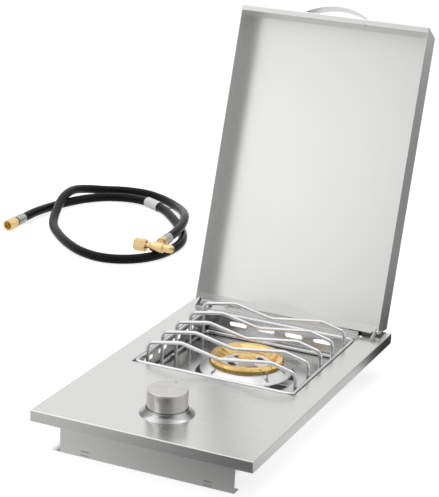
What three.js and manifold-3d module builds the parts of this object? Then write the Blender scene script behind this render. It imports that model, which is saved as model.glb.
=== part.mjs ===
import * as THREE from 'three'
import { mergeVertices } from 'three/addons/utils/BufferGeometryUtils.js'
import Module from 'manifold-3d'

// A gas side burner that drops into a counter: a folded steel top plate with a sunken burner
// well, a wire grate, a brass burner, one push-and-turn knob and a hinged lid, which stands
// open. Its gas hose lies behind it. Lengths are millimetres, +Z is up, the knob faces -Y, and
// the origin is the middle of the cut-out in the counter's top face.

const wasm = await Module()
wasm.setup()

// Fits
const clearance = 0.3
const overrun = 2

// Top plate, folded down to a rim that rests on the counter by a flange turned inward
const plate = { width: 330, depth: 530, height: 17, sheet: 1, bend: 1.6, flange: 10 }

// Burner well, a pan hung in the plate's opening
const well = { sideGap: 37.2, rearGap: 51.75, length: 253, depth: 37.5, sheet: 0.8, flange: 12 }
const wellHole = { margin: 6.5 }
const slot = { length: 29, width: 7, pitch: 47, drop: 16, perWall: 4, endSteps: 4 }

// Front apron, which hangs below the plate and covers the valve
const apron = { sideGap: 34.7, setback: 22.5, drop: 46.2, sheet: 1, topFlange: 12, foot: 15 }
const slit = { length: 12.5, height: 2.5, edgeGap: 38.3, lowRise: 2.9, highRise: 8.2 }

// Control knob and the flared bezel that it sinks into when it is pushed
const knob = { placeShare: 0.373, radius: 28.5, lift: 9.2, height: 26.4, wall: 2.4, dish: 0.8, edge: 0.7 }
const knobHub = { radius: 9.5, recess: 2 }
const knobGroove = { drop: 3.2, height: 0.8, depth: 0.5 }
const knobNotch = { width: 1.8, length: 5, depth: 1.1 }
const bezel = { radius: 38.5, height: 9.8, sheet: 0.8, mouthGap: 0.7, steps: 5, flarePower: 2.4 }

// Valve, its stem and the bracket that carries it under the plate
const stem = { radius: 4, engagement: 17.3, travel: 3.5, collarRadius: 5.6, collarHeight: 1.5, holeGap: 0.8 }
const stemHeadroom = 3
const stemSpring = { coilRadius: 5.4, wireRadius: 0.6, length: 11, turns: 4, stepsPerTurn: 8, sides: 5 }
const stemWasher = { radius: 6.5, height: 1.5 }
const valve = { radius: 13, height: 32.5, neckRadius: 8, neckHeight: 8.8 }
const valveNut = { acrossFlats: 22, height: 5 }
const bracket = { width: 52, length: 38, sheet: 1.5, flange: 14 }
const bush = { radius: 6.8, length: 14 }

// Igniter box on the valve, its wire and the electrode beside the burner
const igniterPad = { reach: 14, width: 14, height: 22 }
const igniter = { length: 17, width: 16, height: 22, rise: 17 }
const wire = { radius: 1.5, sides: 6, steps: 24 }
const wireShares = [[0, 0.05, 0], [0.2, 0.18, 0.4], [0.45, 0.4, 0.75], [0.75, 0.7, 0.95], [0.95, 0.93, 1]]
const ceramic = { radius: 3, collarRadius: 4.5, top: 14, drop: 10, boreDepth: 6 }
const electrode = { radius: 0.9, ringGap: 6.1, height: 12, tip: 4.2, angle: -37.3, sides: 8 }
const electrodeBend = { radius: 2, steps: 3 }

// Gas inlet on the valve's left, a male flare end
const inlet = { bossRadius: 8, bossReach: 18, rise: 12, hexAcross: 18, hexLength: 8, length: 40 }
const flare = { threadRadius: 7.9, bore: 3.2, coneLength: 4, tipRadius: 5.6, grooves: 3, grooveDepth: 0.5 }

// Mixing tube from the valve's jet to the burner
const venturi = { radius: 10.5, wall: 1, gap: 0.4, rise: 8.2, mouth: 25, beadRadius: 12, beadLength: 1.5 }
const jet = { bossRadius: 6.5, bossReach: 17, hexAcross: 10, hexLength: 6, noseRadius: 3.2, length: 13 }
const jetTip = { radius: 2 }
const jetHole = { radius: 0.8, depth: 4 }
const airWindow = { start: 8, length: 14, height: 10 }
const shutter = { wall: 1.2, length: 24, tabWidth: 1.6, tabLength: 5, tabReach: 6 }
const hanger = { wellGap: 5.95, width: 32, sheet: 1.5, flange: 12, foot: 1.3 }

// Burner: cast base with its mixing bowl, deck with slots, brass ring and brass cap
const base = { flange: 13.1, neckMargin: 0.6, height: 13, rimHeight: 2.6, gap: 5.5, bevel: 3.5, shoulder: 1 }
const baseLeg = { radius: 5.5 }
const bowl = { floor: 3, seatWidth: 6.4, ledgeWidth: 4, ledgeDepth: 2 }
const throat = { radius: 24, bore: 20, bossRadius: 30 }
const deck = { thickness: 2, hubRadius: 8, hubHeight: 5 }
const deckSlot = { count: 4, inner: 19, outer: 29, arc: 50, steps: 6 }
const ring = { radius: 56.4, chamfer: 2.4, land: 8, funnel: 8.5, wall: 2.6, height: 9.5, side: 6.5 }
const port = { count: 16, radius: 1.1, rise: 3.2, sides: 6 }
const cap = { radius: 13, height: 6, skirt: 4, toothInner: 9, teeth: 8, pinRadius: 3, pinLength: 5 }

// Three-armed bracket that carries the burner under the well's floor
const spider = { reach: 24, armWidth: 20, sheet: 1.6, hubRadius: 34, shortReach: 5.5, shortWidth: 13 }
const baseScrew = { ringGap: 4.2, radius: 2, headRadius: 3.2, headHeight: 2.4, recess: 3.1, tail: 2.1 }

// Grate: five bent wires and two perimeter wires
const grate = { wireRadius: 3, sides: 8, wires: 5, endGap: 25.9, wallGap: 4.6 }
const crests = { leftCorner: 38, leftPeak: 47.5, valley: 34.5, rightPeak: 46, rightCorner: 36.3 }
const topFrame = { height: 16 }
const crestShares = { leftPeak: -0.543, valley: -0.03, rightPeak: 0.667 }
const grateBends = { corner: 9, crest: 22, steps: 4 }
const grateCorner = { radius: 7.5, steps: 5 }

// Lid, a shallow tray that leans back when it stands open
const lid = { sideGap: 11, endGap: 57.6, depth: 43, sheet: 1, bend: 1.6, lip: 9 }
const lidSlope = { rearRise: 7.5, frontRun: 13.2 }
const lidPose = { lean: 16.6, rearGap: 35.14, cornerRise: 7.1 }
const lidNotch = { width: 10, depth: 14, height: 4.6 }

// Hinges, whose pins pass through the lid's side walls
const hinge = { axisDepth: 7.1, axisRise: 3, earInset: 5.5, earSheet: 2, earRadius: 4.2 }
const hingeEar = { arcStart: -75, arcEnd: 125, steps: 8 }
const hingeFoot = { length: 11.5, width: 24.5, sheet: 1.6, setback: 1.4, heel: 3.5 }
const rail = { foot: 10, height: 6.4, sheet: 1.2 }
const pin = { radius: 2, headRadius: 3.2, headHeight: 1.8, tail: 1 }
const rivet = { radius: 1.6, headRadius: 3.4, headHeight: 1.3, tailRadius: 2.8, tailHeight: 1.4 }
const lidStop = { width: 18, length: 12, height: 3.2, sideGap: 45, rearGap: 11 }

// Lid handle, a bowed strip on the sloped front of the lid
const handle = { halfSpan: 53.5, width: 19, strip: 2.4, leg: 8.5, rise: 13.5, setback: 22, foot: 13 }
const handleBow = { steps: 14 }

// Gas hose with its fittings, laid on the surface that the apron stands on
const hose = { radius: 8.5, sides: 8, steps: 52 }
const ferrule = { radius: 9.6, length: 26, bands: 3, bandDepth: 0.6 }
const nipple = { radius: 5, length: 16, flareRadius: 6.9, flareLength: 2.5 }
const nut = { acrossFlats: 20.6, length: 23, bore: 7.4, boreDepth: 16, chamfer: 1.8 }
const tee = { radius: 9.6, waist: 7, body: 13, male: 32 }
const teeBranch = { radius: 8, length: 36, collarRadius: 10, collarLength: 12 }
const label = { length: 40, gap: 1.1, sheet: 0.6, flag: 30, placeShare: 0.798 }
const route = [
  [-388, 610, 27], [-392, 650, 27], [-401, 692, 27], [-416, 735, 26.6], [-441, 783, 20], [-482, 838, 11],
  [-527, 874, 8.7], [-575, 893, 8.7], [-622, 890, 8.7], [-659, 866, 11], [-681, 828, 19], [-687, 786, 26],
  [-681, 737, 26], [-664, 680, 17], [-636, 618, 9], [-595, 568, 8.7], [-552, 529, 8.7], [-511, 503, 8.7],
  [-469, 492, 8.7], [-431, 501, 8.7], [-401, 526, 8.7], [-382, 563, 8.7], [-376, 606, 8.7],
  [-380, 647, 8.7], [-396, 687, 8.7], [-422, 726, 9.2], [-455, 766, 9.9], [-494, 806, 10.6],
  [-540, 836, 10.6], [-590, 846, 9.4],
  [-634, 831, 8.7], [-664, 798, 8.7], [-684, 755, 8.7], [-695, 705, 10], [-698, 655, 12.5], [-698, 610, 12.5],
]

// Places and heights that several pieces share
const plateFront = -plate.depth / 2
const plateBack = plate.depth / 2
const wellHalf = plate.width / 2 - well.sideGap
const burnerY = plateBack - well.rearGap - well.length / 2
const opening = { x: wellHalf, front: burnerY - well.length / 2, back: burnerY + well.length / 2 }
const knobY = THREE.MathUtils.lerp(plateFront, opening.front, knob.placeShare)
const lidHalf = plate.width / 2 - lid.sideGap
const lidLength = plate.depth - lid.endGap
const plateTop = plate.height
const plateUnder = plateTop - plate.sheet
const floorTop = plateTop - well.depth
const floorUnder = floorTop - well.sheet
const surface = -apron.drop
const spiderTop = floorUnder
const spiderUnder = spiderTop - spider.sheet
const venturiZ = spiderUnder - venturi.gap - venturi.radius
const valveBottom = venturiZ - venturi.rise
const valveTop = valveBottom + valve.height
const bracketTop = valveTop + bracket.sheet
const burnerBottom = floorTop + base.gap
const seatZ = burnerBottom + base.height
const deckTop = seatZ
const baseRadius = ring.radius + base.flange
const neckRadius = ring.radius + base.neckMargin
const ledgeRadius = ring.radius - bowl.seatWidth
const bowlRadius = ledgeRadius - bowl.ledgeWidth
const wellHoleRadius = baseRadius + wellHole.margin

// Facets round a large ring, a small turned piece and a rivet
const round = 40
const small = 14
const tiny = 10
const bendSteps = 3

// Materials
const metal = (color, roughness) => new THREE.MeshStandardMaterial({ color, roughness, metalness: 1 })
const dull = (color, roughness) => new THREE.MeshStandardMaterial({ color, roughness, metalness: 0 })
const steel = () => metal(0xb9bbbd, 0.34)
const brightSteel = () => metal(0xd4d6d8, 0.18)
const zinc = () => metal(0x9da1a4, 0.5)
const aluminium = () => metal(0xc9cccf, 0.42)
const brass = () => metal(0xc9a254, 0.3)
const rubber = () => dull(0x17181a, 0.55)
const plastic = () => dull(0x222325, 0.6)
const white = () => dull(0xe6e4de, 0.4)

// Solids, which manifold joins and cuts, and the geometry made from them
function solid(geometry) {
  const bare = geometry.index ? geometry.toNonIndexed() : geometry.clone()
  bare.deleteAttribute('normal')
  bare.deleteAttribute('uv')
  const merged = mergeVertices(bare)
  const vertProperties = new Float32Array(merged.attributes.position.array)
  const triVerts = new Uint32Array(merged.index.array)
  return new wasm.Manifold(new wasm.Mesh({ numProp: 3, vertProperties, triVerts }))
}

function geometryOf(body) {
  const mesh = body.getMesh()
  const geometry = new THREE.BufferGeometry()
  geometry.setAttribute('position', new THREE.BufferAttribute(new Float32Array(mesh.vertProperties), 3))
  geometry.setIndex(new THREE.BufferAttribute(new Uint32Array(mesh.triVerts), 1))
  geometry.computeVertexNormals()
  return geometry
}

const cut = (body, tools) => tools.reduce((left, tool) => left.subtract(solid(tool)), body)
const join = (body, pieces) => pieces.reduce((sum, piece) => sum.add(solid(piece)), body)

// Shapes
function slab(low, high) {
  const size = new THREE.Vector3().fromArray(high).sub(new THREE.Vector3().fromArray(low))
  const centre = new THREE.Vector3().fromArray(low).addScaledVector(size, 1 / 2)
  return new THREE.BoxGeometry(size.x, size.y, size.z).translate(centre.x, centre.y, centre.z)
}

function turned(profile, sides = round) {
  const area = profile.reduce((sum, [r, z], i) => {
    const [nextR, nextZ] = profile[(i + 1) % profile.length]
    return sum + r * nextZ - nextR * z
  }, 0)
  const ordered = area < 0 ? [...profile].reverse() : [...profile]
  const closes = profile.some(([r]) => r === 0) ? [] : [ordered[0]]
  const points = [...ordered, ...closes].map(([r, z]) => new THREE.Vector2(r, z))
  return new THREE.LatheGeometry(points, sides).rotateX(Math.PI / 2)
}

const rodProfile = (radius, from, to) => [[0, from], [radius, from], [radius, to], [0, to]]
const rod = (radius, from, to, sides = round) => turned(rodProfile(radius, from, to), sides)
const alongX = geometry => geometry.rotateY(Math.PI / 2)
const alongY = geometry => geometry.rotateX(-Math.PI / 2)
const moved = (geometry, x, y, z) => geometry.translate(x, y, z)

function extruded(points, from, to) {
  const shape = new THREE.Shape(points.map(([x, y]) => new THREE.Vector2(x, y)))
  return new THREE.ExtrudeGeometry(shape, { depth: to - from, bevelEnabled: false }).translate(0, 0, from)
}

// Extrusion across the burner: its outline lies in Y and Z, and its depth runs along X
function acrossX(points, from, to) {
  const turn = new THREE.Matrix4().makeBasis(
    new THREE.Vector3(0, 1, 0), new THREE.Vector3(0, 0, 1), new THREE.Vector3(1, 0, 0))
  return extruded(points, from, to).applyMatrix4(turn)
}

// Outline whose corners are bent round, each by its own radius
function bentOutline(corners, bends) {
  const points = corners.map(([x, y]) => new THREE.Vector3(x, y, 0))
  return points.flatMap((corner, i) => {
    const before = corner.clone().sub(points.at(i - 1)).normalize()
    const after = points[(i + 1) % points.length].clone().sub(corner).normalize()
    const bend = bends[i] ? bendStations(corner, before, after, bends[i], bendSteps) : [{ point: corner }]
    return bend.map(({ point }) => [point.x, point.y])
  })
}

const rectangle = (halfX, halfY) => [[-halfX, -halfY], [halfX, -halfY], [halfX, halfY], [-halfX, halfY]]

// Box standing on zero, with all its edges bent round
function bentBox(halfX, halfY, height, radius) {
  const rounded = (halfWide, halfHigh) => bentOutline(rectangle(halfWide, halfHigh), Array(4).fill(radius))
  const upright = extruded(rounded(halfX, halfY), 0, height)
  const across = acrossX(rounded(halfY, height / 2), -halfX, halfX).translate(0, 0, height / 2)
  const along = acrossX(rounded(halfX, height / 2), -halfY, halfY).rotateZ(Math.PI / 2)
  return solid(upright).intersect(solid(across)).intersect(solid(along.translate(0, 0, height / 2)))
}

function hexagon(acrossFlats) {
  const corner = acrossFlats / Math.sqrt(3)
  return Array.from({ length: 6 }, (_, i) => [
    corner * Math.cos(i * Math.PI / 3), corner * Math.sin(i * Math.PI / 3)])
}

function circle(radius, sides) {
  const shape = new THREE.Shape()
  for (let i = 0; i < sides; i++) {
    const angle = i * 2 * Math.PI / sides
    const [x, y] = [radius * Math.cos(angle), radius * Math.sin(angle)]
    i ? shape.lineTo(x, y) : shape.moveTo(x, y)
  }
  return shape
}

// A path whose extrusion steps fall only on the stations that it is given
class StationPath extends THREE.Curve {
  constructor(stations) {
    super()
    this.stations = stations
  }
  station(share) {
    return this.stations[Math.round(share * (this.stations.length - 1))]
  }
  getPointAt(share) {
    return this.station(share).point.clone()
  }
  getTangentAt(share) {
    return this.station(share).tangent.clone()
  }
}

// Stations of a wire bent round its inner corners, each corner with its own radius
function bentStations(corners, radii, stepsPerBend) {
  const points = corners.map(corner => new THREE.Vector3().fromArray(corner))
  const unit = (from, to) => to.clone().sub(from).normalize()
  const first = { point: points[0], tangent: unit(points[0], points[1]) }
  const last = { point: points.at(-1), tangent: unit(points.at(-2), points.at(-1)) }
  const bends = points.slice(1, -1).flatMap((corner, i) =>
    bendStations(corner, unit(points[i], corner), unit(corner, points[i + 2]), radii[i], stepsPerBend))
  return [first, ...bends, last]
}

function bendStations(corner, before, after, radius, steps) {
  const angle = before.angleTo(after)
  const reach = radius * Math.tan(angle / 2)
  const axis = before.clone().cross(after).normalize()
  const start = corner.clone().addScaledVector(before, -reach)
  const centre = start.clone().addScaledVector(axis.clone().cross(before), radius)
  return Array.from({ length: steps + 1 }, (_, i) => {
    const turn = angle * i / steps
    const point = start.clone().sub(centre).applyAxisAngle(axis, turn).add(centre)
    return { point, tangent: before.clone().applyAxisAngle(axis, turn) }
  })
}

function tube(stations, radius, sides) {
  const path = new StationPath(stations)
  return new THREE.ExtrudeGeometry(circle(radius, sides), { steps: stations.length - 1, extrudePath: path })
}

// A closed ring of wire in a level plane: each station carries one ring of points
function levelLoop(stations, radius, sides) {
  const positions = []
  const index = []
  const up = new THREE.Vector3(0, 0, 1)
  stations.forEach(({ point, tangent }) => {
    const out = tangent.clone().cross(up)
    for (let side = 0; side < sides; side++) {
      const angle = side * 2 * Math.PI / sides
      const place = point.clone()
      place.addScaledVector(out, radius * Math.cos(angle))
      place.addScaledVector(up, radius * Math.sin(angle))
      positions.push(...place.toArray())
    }
  })
  stations.forEach((_, i) => {
    const next = (i + 1) % stations.length
    for (let side = 0; side < sides; side++) {
      const nextSide = (side + 1) % sides
      const [a, b] = [i * sides + side, i * sides + nextSide]
      const [c, d] = [next * sides + side, next * sides + nextSide]
      index.push(a, c, b, b, c, d)
    }
  })
  const geometry = new THREE.BufferGeometry()
  geometry.setAttribute('position', new THREE.Float32BufferAttribute(positions, 3))
  geometry.setIndex(index)
  geometry.computeVertexNormals()
  return geometry
}

const burner = new THREE.Group()

function add(parent, name, shape, material) {
  const geometry = shape.isBufferGeometry ? shape : geometryOf(shape)
  const mesh = new THREE.Mesh(geometry, material)
  mesh.name = name
  parent.add(mesh)
}

const sides = [['left', -1], ['right', 1]]
const span = (side, from, to) => [side * from, side * to].sort((a, b) => a - b)

// Places that lid and brackets share
const lean = THREE.MathUtils.degToRad(lidPose.lean)
const lidCorner = new THREE.Vector3(0, plateBack - lidPose.rearGap, plateTop + lidPose.cornerRise)
const hingeAxis = new THREE.Vector3(0, hinge.axisDepth, hinge.axisRise).applyAxisAngle(
  new THREE.Vector3(1, 0, 0), -lean).add(lidCorner)
const earOuter = lidHalf - lid.sheet - hinge.earInset + hinge.earSheet / 2
const earInner = earOuter - hinge.earSheet
const footBack = lidCorner.y - hingeFoot.setback
const rivetPlace = {
  x: earOuter - hingeFoot.width + hingeFoot.length / 2,
  y: footBack - hingeFoot.length / 2,
}

function rivetHoles(radius, bottom, top) {
  return sides.map(([, side]) => moved(rod(radius, bottom, top, tiny), side * rivetPlace.x, rivetPlace.y, 0))
}

// Set rivet, with its tail under one face and its head on the other
function rivetBody(under, top) {
  const { radius, headRadius, tailRadius } = rivet
  const [tailEnd, headEnd] = [under - rivet.tailHeight, top + rivet.headHeight]
  return turned([
    [0, tailEnd], [tailRadius, tailEnd], [tailRadius, under], [radius, under], [radius, top],
    [headRadius, top], [headRadius / 2, headEnd], [0, headEnd],
  ], tiny)
}

// Top plate
function topPlate() {
  const [halfX, halfY] = [plate.width / 2, plate.depth / 2]
  const [innerX, innerY] = [halfX - plate.sheet, halfY - plate.sheet]
  const [lipX, lipY] = [halfX - plate.flange, halfY - plate.flange]
  return cut(bentBox(halfX, halfY, plateTop, plate.bend), [
    slab([-innerX, -innerY, plate.sheet], [innerX, innerY, plateUnder]),
    slab([-lipX, -lipY, -overrun], [lipX, lipY, plate.sheet + overrun]),
    slab([-opening.x, opening.front, 0], [opening.x, opening.back, plateTop + overrun]),
    moved(rod(stemWasher.radius + stem.holeGap, 0, plateTop + overrun), 0, knobY, 0),
    ...rivetHoles(rivet.radius + clearance, 0, plateTop + overrun),
  ])
}

// Burner well
function slotOutline() {
  const bend = (slot.length - slot.width) / 2
  const shape = new THREE.Shape()
  shape.absarc(bend, 0, slot.width / 2, -Math.PI / 2, Math.PI / 2)
  shape.absarc(-bend, 0, slot.width / 2, Math.PI / 2, 3 * Math.PI / 2)
  return shape
}

function wellSlots() {
  const z = plateTop - slot.drop
  const wallGap = 2 * overrun
  const settings = { depth: wallGap, bevelEnabled: false, curveSegments: slot.endSteps }
  const cutter = () => new THREE.ExtrudeGeometry(slotOutline(), settings).translate(0, 0, -wallGap / 2)
  const places = Array.from({ length: slot.perWall }, (_, i) => (i - (slot.perWall - 1) / 2) * slot.pitch)
  return places.flatMap(along => [
    ...[opening.front, opening.back].map(y => cutter().rotateX(Math.PI / 2).translate(along, y, z)),
    ...[-opening.x, opening.x].map(x =>
      cutter().rotateX(Math.PI / 2).rotateZ(Math.PI / 2).translate(x, burnerY + along, z)),
  ])
}

function burnerWell() {
  const grow = (by, bottom, top) => slab(
    [-opening.x - by, opening.front - by, bottom], [opening.x + by, opening.back + by, top])
  const body = join(solid(grow(well.sheet, floorUnder, plateUnder)), [
    grow(well.sheet + well.flange, plateUnder - well.sheet, plateUnder)])
  return cut(body, [
    grow(0, floorTop, plateUnder + overrun),
    moved(rod(wellHoleRadius, floorUnder - overrun, floorTop + overrun), 0, burnerY, 0),
    ...wellSlots(),
    ...rivetHoles(rivet.radius + clearance, 0, plateUnder + overrun),
  ])
}

// Front apron with its pairs of slits
function frontApron() {
  const half = plate.width / 2 - apron.sideGap
  const face = plateFront + apron.setback
  const slitX = half - slit.edgeGap
  const body = join(solid(slab([-half, face, surface], [half, face + apron.sheet, plateUnder])), [
    slab([-half, face, plateUnder - apron.sheet], [half, face + apron.topFlange, plateUnder]),
    slab([-half, face, surface], [half, face + apron.foot, surface + apron.sheet]),
  ])
  const cuts = [-slitX, slitX].flatMap(x => [slit.lowRise, slit.highRise].map(rise => slab(
    [x - slit.length / 2, face - overrun, surface + rise - slit.height / 2],
    [x + slit.length / 2, face + apron.sheet + overrun, surface + rise + slit.height / 2])))
  return cut(body, cuts)
}

add(burner, 'top_plate', topPlate(), steel())
add(burner, 'burner_well', burnerWell(), brightSteel())
add(burner, 'front_apron', frontApron(), steel())

// Knob, bezel, valve and stem share the vertical axis through the knob
const control = new THREE.Group()
control.position.y = knobY
burner.add(control)

const knobBottom = plateTop + knob.lift
const knobTop = knobBottom + knob.height
const stemTop = knobTop - knob.wall - stemHeadroom
const neckTop = valveTop + valve.neckHeight
const washerBottom = neckTop + stemSpring.length
const collarBottom = washerBottom + stemWasher.height
const stemBottom = neckTop - stem.engagement
const boreRadius = stem.radius + clearance

function controlKnob() {
  const [outer, inner] = [knob.radius, knob.radius - knob.wall]
  const under = knobTop - knob.wall
  const hubBottom = knobBottom + knobHub.recess
  const grooveTop = knobTop - knobGroove.drop
  const grooveMiddle = grooveTop - knobGroove.height / 2
  const body = solid(turned([
    [0, knobTop - knob.dish], [outer - 4 * knob.edge, knobTop - knob.dish / 2],
    [outer - 2 * knob.edge, knobTop], [outer - knob.edge, knobTop - knob.edge / 8],
    [outer - knob.edge / 4, knobTop - 3 * knob.edge / 4], [outer, knobTop - 2 * knob.edge],
    [outer, grooveTop], [outer - knobGroove.depth, grooveMiddle], [outer, grooveTop - knobGroove.height],
    [outer, knobBottom + knob.edge / 2], [outer - knob.edge / 2, knobBottom], [inner, knobBottom],
    [inner, under], [knobHub.radius, under], [knobHub.radius, hubBottom], [0, hubBottom],
  ]))
  const bushTop = hubBottom + bush.length + clearance
  return cut(body, [
    rod(bush.radius + clearance, hubBottom - overrun, bushTop),
    rod(boreRadius, bushTop - overrun, stemTop + clearance),
    slab([-knobNotch.width / 2, outer - knobNotch.length, knobTop - knobNotch.depth],
      [knobNotch.width / 2, outer + overrun, knobTop + overrun]),
  ])
}

function knobBush() {
  const bottom = knobBottom + knobHub.recess
  return turned([[boreRadius, bottom], [bush.radius, bottom],
    [bush.radius, bottom + bush.length], [boreRadius, bottom + bush.length]], small)
}

function knobBezel() {
  const mouth = knob.radius + bezel.mouthGap
  const flareAt = share => mouth + (bezel.radius - bezel.sheet - mouth) * (1 - share) ** bezel.flarePower
  const shares = Array.from({ length: bezel.steps + 1 }, (_, i) => i / bezel.steps)
  const inner = shares.map(share => [flareAt(share), plateTop + share * bezel.height])
  const outer = inner.map(([r, z]) => [r + bezel.sheet, z]).reverse()
  return turned([...inner, ...outer])
}

function valveStem() {
  const collar = stem.collarRadius
  return turned([[0, stemBottom], [stem.radius, stemBottom], [stem.radius, collarBottom],
    [collar, collarBottom], [collar, collarBottom + stem.collarHeight],
    [stem.radius, collarBottom + stem.collarHeight], [stem.radius, stemTop], [0, stemTop]], small)
}

// Return spring as one open coil between the valve's neck and the washer
function returnSpring() {
  const { coilRadius, wireRadius, turns, stepsPerTurn } = stemSpring
  const rise = stemSpring.length - 2 * (wireRadius + clearance)
  const steps = turns * stepsPerTurn
  const stations = Array.from({ length: steps + 1 }, (_, i) => {
    const angle = i * 2 * Math.PI / stepsPerTurn
    const z = neckTop + wireRadius + clearance + rise * i / steps
    const point = new THREE.Vector3(coilRadius * Math.cos(angle), coilRadius * Math.sin(angle), z)
    const pitch = rise / (turns * 2 * Math.PI)
    const tangent = new THREE.Vector3(
      -coilRadius * Math.sin(angle), coilRadius * Math.cos(angle), pitch).normalize()
    return { point, tangent }
  })
  return tube(stations, wireRadius, stemSpring.sides)
}

function gasValve() {
  const inletZ = valveBottom + inlet.rise
  const body = join(solid(turned([[0, valveBottom], [valve.radius, valveBottom], [valve.radius, valveTop],
    [valve.neckRadius, valveTop], [valve.neckRadius, neckTop], [0, neckTop]], small)), [
    moved(alongY(rod(jet.bossRadius, 0, jet.bossReach, small)), 0, 0, venturiZ),
    moved(alongX(rod(inlet.bossRadius, -inlet.bossReach, 0, small)), 0, 0, inletZ),
    slab([0, -igniterPad.width / 2, valveBottom + igniter.rise - igniterPad.height / 2],
      [igniterPad.reach, igniterPad.width / 2, valveBottom + igniter.rise + igniterPad.height / 2]),
  ])
  return cut(body, [rod(boreRadius, stemBottom - stem.travel - clearance, neckTop + overrun, small)])
}

function lockNut() {
  return cut(solid(extruded(hexagon(valveNut.acrossFlats), bracketTop, bracketTop + valveNut.height)), [
    rod(valve.neckRadius + clearance, bracketTop - overrun, bracketTop + valveNut.height + overrun, small)])
}

function valveBracket() {
  const [half, front, back] = [bracket.width / 2, -bracket.length / 2, bracket.length / 2]
  const sheet = bracket.sheet
  const webs = sides.map(([, side]) => {
    const [near, far] = span(side, half - sheet, half)
    return slab([near, front, valveTop], [far, back, plateUnder])
  })
  const flanges = sides.map(([, side]) => {
    const [near, far] = span(side, half - sheet, half + bracket.flange)
    return slab([near, front, plateUnder - sheet], [far, back, plateUnder])
  })
  const body = join(solid(slab([-half, front, valveTop], [half, back, bracketTop])), [...webs, ...flanges])
  return cut(body, [rod(valve.neckRadius + clearance, valveTop - overrun, bracketTop + overrun, small)])
}

function igniterBox() {
  const [low, high] = [igniterPad.reach, igniterPad.reach + igniter.length]
  const [half, z] = [igniter.width / 2, valveBottom + igniter.rise]
  return slab([low, -half, z - igniter.height / 2], [high, half, z + igniter.height / 2])
}

// Male flare end, as a turned profile from its shoulder at zero to its tip
function flareProfile(length) {
  const threadStart = flare.threadRadius / 2
  const threadEnd = length - flare.coneLength
  const pitch = (threadEnd - threadStart) / flare.grooves
  const thread = Array.from({ length: flare.grooves }, (_, i) => [
    [flare.threadRadius - flare.grooveDepth, threadStart + (i + 1 / 4) * pitch],
    [flare.threadRadius, threadStart + (i + 3 / 4) * pitch]]).flat()
  return [...thread, [flare.threadRadius, threadEnd], [flare.tipRadius, length], [flare.bore, length]]
}

function gasInlet() {
  const shank = inlet.length - inlet.hexLength
  const profile = [[0, 0], ...flareProfile(shank), [flare.bore, shank / 4], [0, shank / 4]]
  const start = [[flare.threadRadius - flare.grooveDepth, 0]]
  const body = join(solid(turned([profile[0], ...start, ...profile.slice(1)], small)), [
    extruded(hexagon(inlet.hexAcross), -inlet.hexLength, 0)])
  return geometryOf(body).rotateY(-Math.PI / 2).translate(
    -inlet.bossReach - inlet.hexLength, 0, valveBottom + inlet.rise)
}

function orificeJet() {
  const nose = [[jet.noseRadius, 0], [jet.noseRadius, jet.length - jet.hexLength - jetTip.radius],
    [jetTip.radius, jet.length - jet.hexLength]]
  const tip = jet.length - jet.hexLength
  const turnedNose = turned([[0, -overrun], [jet.noseRadius, -overrun], ...nose,
    [jetHole.radius, tip], [jetHole.radius, tip - jetHole.depth], [0, tip - jetHole.depth]], small)
  const body = join(solid(extruded(hexagon(jet.hexAcross), -jet.hexLength, 0)), [turnedNose])
  return alongY(geometryOf(body)).translate(0, jet.bossReach + jet.hexLength, venturiZ)
}

add(control, 'knob_bezel', knobBezel(), brightSteel())
add(control, 'control_knob', controlKnob(), steel())
add(control, 'knob_bush', knobBush(), plastic())
add(control, 'valve_stem', valveStem(), brass())
add(control, 'stem_washer', turned([[boreRadius, washerBottom], [stemWasher.radius, washerBottom],
  [stemWasher.radius, collarBottom], [boreRadius, collarBottom]], small), zinc())
add(control, 'stem_spring', returnSpring(), zinc())
add(control, 'gas_valve', gasValve(), aluminium())
add(control, 'valve_nut', lockNut(), brass())
add(control, 'valve_bracket', valveBracket(), zinc())
add(control, 'igniter_box', igniterBox(), plastic())
add(control, 'gas_inlet', gasInlet(), brass())
add(control, 'orifice_jet', orificeJet(), brass())

// Mixing tube along +Y, its air shutter and the hanger that holds it under the plate
const mixing = new THREE.Group()
mixing.position.z = venturiZ
burner.add(mixing)

const mouthY = knobY + venturi.mouth
const tubeEnd = burnerY - throat.bore - clearance
const shutterY = mouthY + venturi.beadLength + clearance

function airWindows(start) {
  const [reach, half] = [venturi.beadRadius + overrun, airWindow.height / 2]
  return slab([-reach, start, -half], [reach, start + airWindow.length, half])
}

function venturiTube() {
  const [outer, inner] = [venturi.radius, venturi.radius - venturi.wall]
  const beadEnd = mouthY + venturi.beadLength
  const profile = [[inner, mouthY], [venturi.beadRadius, mouthY], [venturi.beadRadius, beadEnd],
    [outer, beadEnd], [outer, tubeEnd], [inner, tubeEnd]]
  return cut(solid(alongY(turned(profile, small))), [airWindows(mouthY + airWindow.start)])
}

function airShutter() {
  const inner = venturi.radius + clearance
  const outer = inner + shutter.wall
  const end = shutterY + shutter.length
  const profile = [[inner, shutterY], [outer, shutterY], [outer, end], [inner, end]]
  const sleeve = solid(alongY(turned(profile, small)))
  const body = join(sleeve, [
    slab([-shutter.tabWidth / 2, end - shutter.tabLength, outer - shutter.wall / 2],
      [shutter.tabWidth / 2, end, outer + shutter.tabReach])])
  return cut(body, [airWindows(mouthY + airWindow.start)])
}

function tubeHanger() {
  const half = hanger.width / 2
  const back = opening.front - well.sheet - well.flange - hanger.wellGap
  const front = back - hanger.sheet
  const under = plateUnder - venturiZ
  const foot = venturi.radius + clearance + hanger.foot
  const body = join(solid(slab([-half, front, -foot], [half, back, under])), [
    slab([-half, back - hanger.flange, under - hanger.sheet], [half, back, under])])
  return cut(body, [alongY(rod(venturi.radius + clearance, front - overrun, back + overrun, small))])
}

add(mixing, 'venturi_tube', venturiTube(), zinc())
add(mixing, 'air_shutter', airShutter(), steel())
add(mixing, 'venturi_hanger', tubeHanger(), zinc())

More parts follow.
